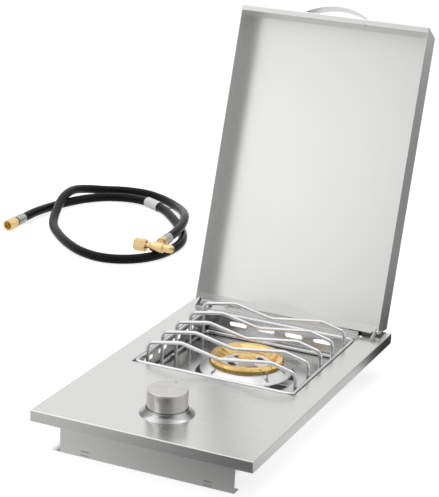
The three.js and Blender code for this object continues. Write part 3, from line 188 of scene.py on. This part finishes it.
class Nodes:
    """A material's node tree, with the few links that every finish here needs."""

    def __init__(self, name, colour, metallic, roughness):
        self.material = bpy.data.materials.new(name)
        self.material.use_nodes = True
        self.tree = self.material.node_tree
        self.shader = self.tree.nodes["Principled BSDF"]
        self.shader.inputs["Base Color"].default_value = (*colour, 1)
        self.shader.inputs["Metallic"].default_value = metallic
        self.shader.inputs["Roughness"].default_value = roughness

    def add(self, kind, **settings):
        node = self.tree.nodes.new(kind)
        for key, value in settings.items():
            setattr(node, key, value)
        return node

    def link(self, source, target):
        self.tree.links.new(source, target)

    def place(self, scale, turn=(0, 0, 0)):
        """The piece's own coordinates, scaled and then turned."""
        source = self.add("ShaderNodeTexCoord")
        mapping = self.add("ShaderNodeMapping", vector_type="POINT")
        mapping.inputs["Rotation"].default_value = turn
        mapping.inputs["Scale"].default_value = scale
        self.link(source.outputs["Object"], mapping.inputs["Vector"])
        return mapping.outputs["Vector"]

    def noise(self, vector, scale, detail):
        node = self.add("ShaderNodeTexNoise")
        node.inputs["Scale"].default_value = scale
        node.inputs["Detail"].default_value = detail
        self.link(vector, node.inputs["Vector"])
        return node.outputs["Fac"]

    def spread(self, value, low, high):
        """The middle of the noise's range, mapped to the range from low to high."""
        node = self.add("ShaderNodeMapRange")
        node.inputs["From Min"].default_value = NOISE_LOW
        node.inputs["From Max"].default_value = NOISE_HIGH
        node.inputs["To Min"].default_value = low
        node.inputs["To Max"].default_value = high
        self.link(value, node.inputs["Value"])
        return node.outputs["Result"]

    def shade(self, value, dark, light):
        """The shader's colour runs from dark to light with the value."""
        node = self.add("ShaderNodeMix", data_type="RGBA")
        node.inputs["A"].default_value = (*dark, 1)
        node.inputs["B"].default_value = (*light, 1)
        self.link(self.spread(value, 0, 1), node.inputs["Factor"])
        self.link(node.outputs["Result"], self.shader.inputs["Base Color"])

    def sectors(self, vector, start, count):
        """A wave round the axis, with that many crests, lowest in the start direction."""
        unit = self.add("ShaderNodeVectorMath", operation="NORMALIZE")
        self.link(vector, unit.inputs[0])
        near = self.add("ShaderNodeVectorMath", operation="DOT_PRODUCT")
        near.inputs[1].default_value = start
        self.link(unit.outputs["Vector"], near.inputs[0])
        value = near.outputs["Value"]
        for operation, number in (("ARCCOSINE", None), ("MULTIPLY", count), ("COSINE", None)):
            step = self.add("ShaderNodeMath", operation=operation)
            self.link(value, step.inputs[0])
            if number:
                step.inputs[1].default_value = number
            value = step.outputs[0]
        wave = self.add("ShaderNodeMath", operation="MULTIPLY_ADD")
        wave.inputs[1].default_value = (NOISE_LOW - NOISE_HIGH) / 2
        wave.inputs[2].default_value = (NOISE_LOW + NOISE_HIGH) / 2
        self.link(value, wave.inputs[0])
        return wave.outputs[0]

    def bump(self, value, strength, distance):
        node = self.add("ShaderNodeBump")
        node.inputs["Strength"].default_value = strength
        node.inputs["Distance"].default_value = distance
        self.link(value, node.inputs["Height"])
        self.link(node.outputs["Normal"], self.shader.inputs["Normal"])


def times(colour, factor):
    """The colour made lighter or darker by the factor."""
    return tuple(c * factor for c in colour)


def brushed(name, colour, roughness, grain, lean=0.0):
    """Brushed steel. Grain is the axis that the scratches run along; lean turns it about X."""
    made = Nodes(name, colour, 1, roughness)
    scale = [SCRATCH_ACROSS] * 3
    scale["XYZ".index(grain)] = SCRATCH_ALONG
    place = made.place(scale, (lean, 0, 0))
    scratches = made.noise(place, 1, 2)
    broad = made.noise(made.place([SHEET_SCALE] * 3), 1, 2)
    made.shade(scratches, *(times(colour, tone) for tone in SCRATCH_TONES))
    total = made.add("ShaderNodeMath", operation="ADD")
    fine = made.spread(scratches, roughness - SCRATCH_SWING, roughness + SCRATCH_SWING)
    made.link(fine, total.inputs[0])
    made.link(made.spread(broad, -SHEET_SWING, SHEET_SWING), total.inputs[1])
    made.link(total.outputs[0], made.shader.inputs["Roughness"])
    made.bump(scratches, *SCRATCH_BUMP)
    return made.material


def turned(name, colour, roughness, centre, painted_reflection=None):
    """Turned metal, whose fine rings run round an upright axis through the centre.

    The last argument gives the number and the depth of sectors painted in its colour: a painted reflection,
    bright and dark round the axis, that stands in for the shine of the turned face.
    """
    made = Nodes(name, colour, 1, roughness)
    source = made.add("ShaderNodeTexCoord")
    shift = made.add("ShaderNodeVectorMath", operation="SUBTRACT")
    shift.inputs[1].default_value = centre
    made.link(source.outputs["Object"], shift.inputs[0])
    keep = made.add("ShaderNodeVectorMath", operation="MULTIPLY")
    keep.inputs[1].default_value = (1, 1, 0)
    made.link(shift.outputs[0], keep.inputs[0])
    length = made.add("ShaderNodeVectorMath", operation="LENGTH")
    made.link(keep.outputs[0], length.inputs[0])
    along = made.add("ShaderNodeSeparateXYZ")
    made.link(shift.outputs[0], along.inputs[0])
    joined = made.add("ShaderNodeCombineXYZ")
    made.link(length.outputs["Value"], joined.inputs[0])
    made.link(along.outputs["Z"], joined.inputs[1])
    rings = made.noise(joined.outputs[0], TURNING_SCALE, 1)
    if painted_reflection:
        count, depth = painted_reflection
        # Painted reflection: the colour is made darker and lighter in sectors round the axis
        sectors = made.sectors(keep.outputs[0], PAINTED_REFLECTION_START, count)
        made.shade(sectors, times(colour, 1 - depth), times(colour, 1 + depth))
    else:
        blotches = made.noise(made.place([BLOTCH_SCALE] * 3), 1, 2)
        made.shade(blotches, *(times(colour, tone) for tone in BLOTCH_TONES))
    less, more = TURNING_SWING
    made.link(made.spread(rings, roughness - less, roughness + more), made.shader.inputs["Roughness"])
    made.bump(rings, *TURNING_BUMP)
    return made.material


def grained(name, colour, metallic, roughness, scale, relief, contrast=0.1, specular=0.5):
    """Cast, moulded, plated or rubber surface, with fine grain of that scale and relief in metres."""
    made = Nodes(name, colour, metallic, roughness)
    made.shader.inputs["Specular IOR Level"].default_value = specular
    grain = made.noise(made.place((1, 1, 1)), scale, 4)
    broad = made.noise(made.place([CAST_SCALE] * 3), 1, 2)
    made.shade(broad, times(colour, 1 - contrast), times(colour, 1 + contrast))
    fine = made.spread(grain, roughness - GRAIN_SWING, roughness + GRAIN_SWING)
    made.link(fine, made.shader.inputs["Roughness"])
    made.bump(grain, GRAIN_STRENGTH, relief)
    return made.material


LID_LEAN = math.radians(16.6)
KNOB_AXIS = (0, -0.181, 0)
BURNER_AXIS = (0, 0.08675, 0)

# Towards the photographed view's camera, where the bezel's painted reflection is darkest
PAINTED_REFLECTION_START = (0.42, -0.91, 0)

# After its name and colour, a brushed finish has its roughness and the axis of its grain, a turned one
# its roughness and centre, and a grained one its metallic, roughness, scale and relief.
plate_steel = brushed("plate_steel", STEEL, 0.24, "X")
lid_steel = brushed("lid_steel", times(STEEL, 1.1), 0.33, "X", LID_LEAN)
apron_steel = brushed("apron_steel", STEEL, 0.34, "X")
well_steel = brushed("well_steel", times(STEEL, 0.9), 0.2, "X")
knob_steel = turned("knob_steel", KNOB_STEEL, 0.18, KNOB_AXIS)
# The bezel's colour carries five sectors of painted reflection round the knob's axis
bezel_steel_painted_reflection = turned("bezel_steel_painted_reflection", SHADED_BEZEL_STEEL, 0.13, KNOB_AXIS, painted_reflection=(5, 0.5))
wire_steel = grained("wire_steel", WIRE_STEEL, 1, 0.2, 900, 0.00002, contrast=0.03)
handle_steel = brushed("handle_steel", BRIGHT_STEEL, 0.2, "X")
small_steel = grained("small_steel", BRIGHT_STEEL, 1, 0.25, 700, 0.00003, contrast=0.04)
hinge_steel = brushed("hinge_steel", times(STEEL, 0.8), 0.35, "X")
ring_brass = turned("ring_brass", BRASS, 0.1, BURNER_AXIS)
# Near-black brass: painted shade on the insides of the flame ports
port_shade_brass = grained("port_shade_brass", PORT_SHADE_BRASS, 1, 0.5, 500, 0.00003)
fitting_brass = grained("fitting_brass", FITTING_BRASS, 1, 0.24, 500, 0.00003, contrast=0.06)
cast_aluminium = grained("cast_aluminium", ALUMINIUM, 0.75, 0.34, 900, 0.00006, contrast=0.05)
valve_aluminium = grained("valve_aluminium", times(ALUMINIUM, 0.85), 1, 0.4, 700, 0.00008)
zinc = grained("zinc", ZINC, 1, 0.4, 500, 0.00005, contrast=0.12)
rubber = grained("rubber", RUBBER, 0, 0.26, 700, 0.00004, contrast=0.2, specular=0.1)
plastic = grained("plastic", PLASTIC, 0, 0.5, 900, 0.00006)
ceramic = grained("ceramic", CERAMIC, 0, 0.25, 400, 0.00002, contrast=0.04)
paper = grained("paper", PAPER, 0, 0.45, 300, 0.0001, contrast=0.06)

# Finish of each node, with the width of its rounded edges in millimetres
FINISHES = {
    plate_steel: (0.3, ["top_plate", "hinge_rail"]),
    apron_steel: (0.3, ["front_apron"]),
    well_steel: (0.4, ["burner_well"]),
    lid_steel: (0.3, ["lid_panel"]),
    knob_steel: (0, ["control_knob"]),
    bezel_steel_painted_reflection: (0.2, ["knob_bezel"]),
    wire_steel: (0, [*(f"grate_wire_{i}" for i in range(1, 6)), "grate_frame_top", "grate_frame_bottom"]),
    handle_steel: (0.4, ["lid_handle"]),
    small_steel: (0.15, ["handle_rivet_left", "handle_rivet_right", "hinge_rivet_left", "hinge_rivet_right",
                         "hinge_pin_left", "hinge_pin_right"]),
    hinge_steel: (0.25, ["hinge_bracket_left", "hinge_bracket_right", "air_shutter"]),
    ring_brass: (0.2, ["burner_cap"]),
    fitting_brass: (0.25, ["hose_nipple", "hose_nut", "tee_fitting", "tee_nut", "valve_stem", "valve_nut",
                           "gas_inlet", "orifice_jet"]),
    cast_aluminium: (0.4, ["burner_base", "burner_deck"]),
    valve_aluminium: (0.4, ["gas_valve"]),
    zinc: (0.2, ["stem_washer", "stem_spring", "valve_bracket", "venturi_tube", "venturi_hanger",
                 "burner_bracket", "base_screw_1", "base_screw_2", "base_screw_3", "electrode_rod",
                 "hose_ferrule_left", "hose_ferrule_right"]),
    rubber: (0.3, ["igniter_wire", "lid_stop_left", "lid_stop_right"]),
    plastic: (0.4, ["knob_bush", "igniter_box"]),
    ceramic: (0.1, ["electrode_ceramic"]),
    paper: (0, ["hose_label"]),
}
EDGE_ANGLE = math.radians(50)
EDGE_SEGMENTS = 2
FLAT_ANGLE = math.radians(1)
WELD_DISTANCE = 0.001 * MM
NORMAL_WEIGHT = 100


def paint(piece, material):
    """Gives the piece that material alone."""
    piece.data.materials.clear()
    piece.data.materials.append(material)


def soften(piece, width):
    """Joins the faces, shades them smooth and rounds the sharp edges by the width."""
    if piece.data.attributes.get("custom_normal"):
        piece.data.attributes.remove(piece.data.attributes["custom_normal"])
    piece.data.shade_smooth()
    weld = piece.modifiers.new("weld", "WELD")
    weld.merge_threshold = WELD_DISTANCE
    flat = piece.modifiers.new("flat", "DECIMATE")
    flat.decimate_type = "DISSOLVE"
    flat.angle_limit = FLAT_ANGLE
    if width:
        bevel = piece.modifiers.new("edges", "BEVEL")
        bevel.width = width * MM
        bevel.segments = EDGE_SEGMENTS
        bevel.limit_method = "ANGLE"
        bevel.angle_limit = EDGE_ANGLE
    piece.modifiers.new("normals", "WEIGHTED_NORMAL").weight = NORMAL_WEIGHT


for material, (edge_width, names) in FINISHES.items():
    for name in names:
        paint(nodes[name], material)
        soften(nodes[name], edge_width)
hose.data.materials.append(rubber)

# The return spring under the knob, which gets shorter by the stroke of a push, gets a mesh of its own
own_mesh(nodes["stem_spring"])


# Brass ring, turned finer than its solid and drilled with its full row of flame ports: millimetres
RING_PORTS = 48
RING_EDGE = 0.35
RING_STATIONS = 2 * RING_PORTS
PORT_RADIUS = 0.95
PORT_DROP = 2.1
PORT_BAND = 1.5
PORT_DEPTH = 2.0
PORT_START = math.radians(135)
RING_CHAMFER = 2.4
RING_CHAMFER_DROP = 3.0
RING_LAND = 8
RING_FUNNEL = 8.5
RING_WALL = 2.6
RING_FOOT = 0.3


def ring_profile(radius, low, high):
    """The ring's section as (radius, height) rows in millimetres, from the ports' band round to it."""
    side = high - RING_CHAMFER_DROP
    band_high, band_low = side - PORT_DROP + PORT_BAND, side - PORT_DROP - PORT_BAND
    land = radius - RING_CHAMFER
    inner = land - RING_LAND
    bore = inner - RING_FUNNEL
    under = high - RING_WALL
    rows = [
        (radius, band_high), (radius, side - RING_EDGE), (radius - RING_EDGE / 2, side),
        (land + RING_EDGE / 2, high - RING_EDGE / 2), (land - RING_EDGE / 2, high), (inner + RING_EDGE, high),
        (inner - RING_EDGE / 2, high - RING_EDGE / 2),
        (bore, low + RING_FOOT), (bore + RING_WALL, low + RING_FOOT), (inner + RING_WALL / 2, under),
        (land - RING_WALL / 2, under), (radius - RING_WALL, side - RING_WALL / 2), (radius - RING_WALL, low),
        (radius - RING_EDGE, low), (radius, low + RING_EDGE), (radius, band_low),
    ]
    return rows, (band_high + band_low) / 2


def drill_port(mesh, rims, sector, radius, height):
    """One sector of the ports' band: a plate with a round bore, closed at its end. The bore's walls and end
    carry a painted shade.
    """
    top, middle, bottom = rims
    first = 2 * sector
    half, last = first + 1, (first + 2) % RING_STATIONS
    frame_corners = [top[first], middle[first], bottom[first], bottom[half],
                     bottom[last], middle[last], top[last], top[half]]
    sides = len(frame_corners)
    turn = Matrix.Rotation(half * 2 * math.pi / RING_STATIONS, 3, "Z")

    def circle(depth):
        places = []
        for i in range(sides):
            angle = PORT_START + i * 2 * math.pi / sides
            across, up = PORT_RADIUS * math.cos(angle), PORT_RADIUS * math.sin(angle)
            out = math.sqrt(radius ** 2 - across ** 2) - depth
            places.append(mesh.verts.new(turn @ Vector((out, across, height + up)) * MM))
        return places

    # The bore's walls and its end take the second slot, which is painted shade
    mouth, end = circle(0), circle(PORT_DEPTH)
    for i in range(sides):
        j = (i + 1) % sides
        mesh.faces.new((frame_corners[i], frame_corners[j], mouth[j], mouth[i]))
        mesh.faces.new((mouth[i], mouth[j], end[j], end[i])).material_index = 1
    mesh.faces.new(end).material_index = 1


def fine_ring():
    """Lathes the profile, drills the ports and puts the ring in its solid's place."""
    low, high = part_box("burner_ring")
    radius = (high[0] - low[0]) / 2 / MM
    rows, port_height = ring_profile(radius, low[2] / MM, high[2] / MM)
    mesh = bmesh.new()

    def rim(r, z):
        angles = [i * 2 * math.pi / RING_STATIONS for i in range(RING_STATIONS)]
        return [mesh.verts.new((r * math.cos(a) * MM, r * math.sin(a) * MM, z * MM)) for a in angles]

    rims = [rim(r, z) for r, z in rows]
    middle = rim(radius, port_height)
    for one, two in zip(rims, rims[1:]):
        for i in range(RING_STATIONS):
            j = (i + 1) % RING_STATIONS
            mesh.faces.new((one[i], one[j], two[j], two[i]))
    for sector in range(RING_PORTS):
        drill_port(mesh, (rims[0], middle, rims[-1]), sector, radius, port_height)
    bmesh.ops.recalc_face_normals(mesh, faces=mesh.faces)
    data = bpy.data.meshes.new("brass_ring")
    mesh.to_mesh(data)
    mesh.free()
    data.shade_smooth()
    piece = bpy.data.objects.new("brass_ring", data)
    bpy.context.scene.collection.objects.link(piece)
    piece.location = ((low[0] + high[0]) / 2, (low[1] + high[1]) / 2, 0)
    data.materials.append(ring_brass)
    # Second slot: painted shade inside the flame ports
    data.materials.append(port_shade_brass)
    piece.modifiers.new("normals", "WEIGHTED_NORMAL").weight = NORMAL_WEIGHT
    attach(piece, "ring")
    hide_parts("burner_ring")


fine_ring()

# Studio: a white floor and world, soft lamps, and a grey sweep that only reflections see. The sweep's
# spots and fan, the world's cards and the floor's rectangle of painted shade are placed for the photographed
# view.


def plane(name, corner, across, along):
    """Flat piece of the studio, from one corner along two of its sides."""
    mesh = bpy.data.meshes.new(name)
    a, u, v = Vector(corner), Vector(across), Vector(along)
    mesh.from_pydata([a, a + u, a + u + v, a + v], [], [(0, 1, 2, 3)])
    piece = bpy.data.objects.new(name, mesh)
    bpy.context.scene.collection.objects.link(piece)
    return piece


class Strength:
    """Arithmetic on node values, for the levels of the floor, the sweep and the world."""

    def __init__(self, tree):
        self.tree = tree

    def math(self, operation, *values):
        node = self.tree.nodes.new("ShaderNodeMath")
        node.operation = operation
        for socket, value in zip(node.inputs, values):
            if isinstance(value, (int, float)):
                socket.default_value = value
            else:
                self.tree.links.new(value, socket)
        return node.outputs[0]

    def ramp(self, value, start, end, low, high):
        """Runs smoothly from low to high while the value runs from start to end."""
        node = self.tree.nodes.new("ShaderNodeMapRange")
        node.interpolation_type = "SMOOTHSTEP"
        for name, number in (("From Min", start), ("From Max", end), ("To Min", low), ("To Max", high)):
            node.inputs[name].default_value = number
        self.tree.links.new(value, node.inputs["Value"])
        return node.outputs["Result"]

    def coordinate(self, kind):
        node = self.tree.nodes.new("ShaderNodeTexCoord")
        return node.outputs[kind]

    def axes(self, vector):
        node = self.tree.nodes.new("ShaderNodeSeparateXYZ")
        self.tree.links.new(vector, node.inputs[0])
        return node.outputs

    def dot(self, vector, direction):
        node = self.tree.nodes.new("ShaderNodeVectorMath")
        node.operation = "DOT_PRODUCT"
        self.tree.links.new(vector, node.inputs[0])
        node.inputs[1].default_value = direction
        return node.outputs["Value"]

    def spot(self, vector, centre, reach):
        """One at the centre, falling smoothly to nothing at the reach in X and in Y."""
        node = self.tree.nodes.new("ShaderNodeMapping")
        node.vector_type = "TEXTURE"
        node.inputs["Location"].default_value = (*centre, 0)
        node.inputs["Scale"].default_value = (*reach, 1)
        self.tree.links.new(vector, node.inputs["Vector"])
        length = self.tree.nodes.new("ShaderNodeVectorMath")
        length.operation = "LENGTH"
        self.tree.links.new(node.outputs["Vector"], length.inputs[0])
        return self.ramp(length.outputs["Value"], 0, 1, 1, 0)

    def cone(self, direction, towards, core, edge, depth):
        """The depth within the core's angle of the direction, falling to nothing at the edge's angle."""
        near = self.dot(direction, towards)
        return self.ramp(near, math.cos(math.radians(edge)), math.cos(math.radians(core)), 0, depth)

    def fan(self, place, start, towards, core, edge, depth):
        """A flat cone that spreads over the ground from its start."""
        away = self.tree.nodes.new("ShaderNodeVectorMath")
        away.operation = "SUBTRACT"
        self.tree.links.new(place, away.inputs[0])
        away.inputs[1].default_value = (*start, SURFACE * MM)
        unit = self.tree.nodes.new("ShaderNodeVectorMath")
        unit.operation = "NORMALIZE"
        self.tree.links.new(away.outputs["Vector"], unit.inputs[0])
        return self.cone(unit.outputs["Vector"], (*towards, 0), core, edge, depth)

    def seen(self):
        """One for the rays that show the background: camera, glossy and transmission rays."""
        rays = self.tree.nodes.new("ShaderNodeLightPath").outputs
        return self.math("MAXIMUM", self.math("MAXIMUM", rays["Is Camera Ray"], rays["Is Glossy Ray"]),
                         rays["Is Transmission Ray"])

    def glossy(self):
        return self.tree.nodes.new("ShaderNodeLightPath").outputs["Is Glossy Ray"]


FLOOR_REACH = 12
FLOOR_WHITE = 0.5
FLOOR_GLOW = 0.7
# FLOOR_SHADE is the grey of a painted shade on the floor, and the SHADE_ values bound its rectangle
FLOOR_SHADE = 0.04
FLOOR_ROUGHNESS = 0.9
SHADE_LEFT = -0.15
SHADE_RIGHT = 0.112
SHADE_EDGE = 0.022
SHADE_END = 0.002
FLOOR_DROP = 0.2 * MM


def floor():
    """White floor, clear from below, with a rectangle of painted shade under the burner."""
    z = SURFACE * MM - FLOOR_DROP
    piece = plane("floor", (-FLOOR_REACH, -FLOOR_REACH, z), (2 * FLOOR_REACH, 0, 0), (0, 2 * FLOOR_REACH, 0))
    made = Nodes("floor_white", (FLOOR_WHITE,) * 3, 0, FLOOR_ROUGHNESS)
    made.shader.inputs["Emission Color"].default_value = (*WHITE, 1)
    level = Strength(made.tree)
    x, y, _ = level.axes(level.coordinate("Object"))
    front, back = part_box("front_apron")[0][1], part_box("burner_well")[1][1]
    middle, half_depth = (front + back) / 2, (back - front) / 2
    centre, half_width = (SHADE_LEFT + SHADE_RIGHT) / 2, (SHADE_RIGHT - SHADE_LEFT) / 2
    # Painted shade: inside the rectangle the floor has no glow and a dark grey colour
    aside = level.math("ABSOLUTE", level.math("SUBTRACT", x, centre))
    past_sides = level.ramp(aside, half_width - SHADE_EDGE, half_width, 0, 1)
    away = level.math("ABSOLUTE", level.math("SUBTRACT", y, middle))
    past_ends = level.ramp(away, half_depth - SHADE_END, half_depth, 0, 1)
    outside = level.math("MAXIMUM", past_sides, past_ends)
    glow = level.math("MULTIPLY", level.math("MULTIPLY", level.seen(), outside), FLOOR_GLOW)
    made.link(glow, made.shader.inputs["Emission Strength"])
    tone = made.add("ShaderNodeMix", data_type="RGBA")
    for socket, grey in (("A", FLOOR_SHADE), ("B", FLOOR_WHITE)):
        tone.inputs[socket].default_value = (grey, grey, grey, 1)
    made.link(outside, tone.inputs["Factor"])
    made.link(tone.outputs["Result"], made.shader.inputs["Base Color"])
    side = made.add("ShaderNodeNewGeometry").outputs["Backfacing"]
    made.link(level.math("SUBTRACT", 1, side), made.shader.inputs["Alpha"])
    paint(piece, made.material)


SWEEP_CORNER = (-1.6, -1.6)
SWEEP_SIZE = (3.8, 5.0)
SWEEP_LEVEL = 0.86

# Dark spots as (centre, reach, depth)
SWEEP_SPOTS = [((0.12, -0.42), (0.40, 0.44), 0.74), ((0.30, 0.25), (0.35, 0.55), 0.22),
               ((-0.28, -0.42), (0.36, 0.36), 0.2)]

# Dark fan, whose core and edge are angles in degrees
FAN_FROM = (0.08, 0.1)
FAN_TOWARDS = (0.287, 0.958)
FAN_CORE = 11
FAN_EDGE = 26
FAN_DEPTH = 0.68


def sweep():
    """Grey sweep on the floor, seen only by reflections: dark in front and at the back right."""
    wide, deep = SWEEP_SIZE
    piece = plane("sweep", (*SWEEP_CORNER, SURFACE * MM), (wide, 0, 0), (0, deep, 0))
    for kind in ("camera", "diffuse", "transmission", "shadow", "volume_scatter"):
        setattr(piece, f"visible_{kind}", False)
    made = Nodes("sweep_grey", (0, 0, 0), 0, 1)
    made.shader.inputs["Emission Color"].default_value = (*WHITE, 1)
    made.shader.inputs["Specular IOR Level"].default_value = 0
    level = Strength(made.tree)
    place = level.coordinate("Object")
    total = SWEEP_LEVEL
    for centre, reach, depth in SWEEP_SPOTS:
        total = level.math("SUBTRACT", total, level.math("MULTIPLY", level.spot(place, centre, reach), depth))
    behind = level.fan(place, FAN_FROM, FAN_TOWARDS, FAN_CORE, FAN_EDGE, FAN_DEPTH)
    total = level.math("SUBTRACT", total, behind)
    made.link(total, made.shader.inputs["Emission Strength"])
    paint(piece, made.material)


WORLD_DIFFUSE = 0.72
WORLD_FRONT = 0.8
WORLD_BACK = 1.0
WORLD_TURN = (-0.9, 0.6)

# Dark cards as (direction, core and edge in degrees, depth)
CARDS = [((0.384, -0.899, 0.21), 14, 48, 0.42), ((0.32, 0.947, -0.03), 10, 34, 0.66)]

# Lamps as (name, place, target, size, power)
LAMPS = [
    ("lamp_top", (-0.5, 0.1, 2.3), (0, 0.1, 0), (3.4, 3.4), 22),
    ("lamp_front", (-0.75, -1.25, 0.68), (0, 0.3, 0.25), (0.75, 0.75), 1.15),
]


def world():
    """White for the camera; reflections see it darker in front, with two dark cards on the right."""
    made = bpy.data.worlds.new("studio")
    bpy.context.scene.world = made
    made.use_nodes = True
    background = made.node_tree.nodes["Background"]
    background.inputs["Color"].default_value = (*WHITE, 1)
    level = Strength(made.node_tree)
    direction = level.coordinate("Generated")
    _, y, _ = level.axes(direction)
    mirrored = level.ramp(y, *WORLD_TURN, WORLD_FRONT, WORLD_BACK)
    for towards, core, edge, depth in CARDS:
        mirrored = level.math("SUBTRACT", mirrored, level.cone(direction, towards, core, edge, depth))
    shown = level.seen()
    glossy = level.glossy()
    change = level.math("MULTIPLY", level.math("SUBTRACT", mirrored, 1), glossy)
    seen = level.math("MULTIPLY", level.math("ADD", change, 1), shown)
    hidden = level.math("MULTIPLY", level.math("SUBTRACT", 1, shown), WORLD_DIFFUSE)
    made.node_tree.links.new(level.math("ADD", seen, hidden), background.inputs["Strength"])


def lamp(name, place, target, size, power):
    """Soft rectangular lamp that faces its target."""
    data = bpy.data.lights.new(name, "AREA")
    data.shape = "RECTANGLE"
    data.size, data.size_y = size
    data.energy = power
    piece = bpy.data.objects.new(name, data)
    piece.location = place
    piece.rotation_euler = (Vector(target) - Vector(place)).to_track_quat("-Z", "Y").to_euler()
    bpy.context.scene.collection.objects.link(piece)


floor()
sweep()
world()
for settings in LAMPS:
    lamp(*settings)
bpy.context.scene.view_settings.view_transform = "Standard"
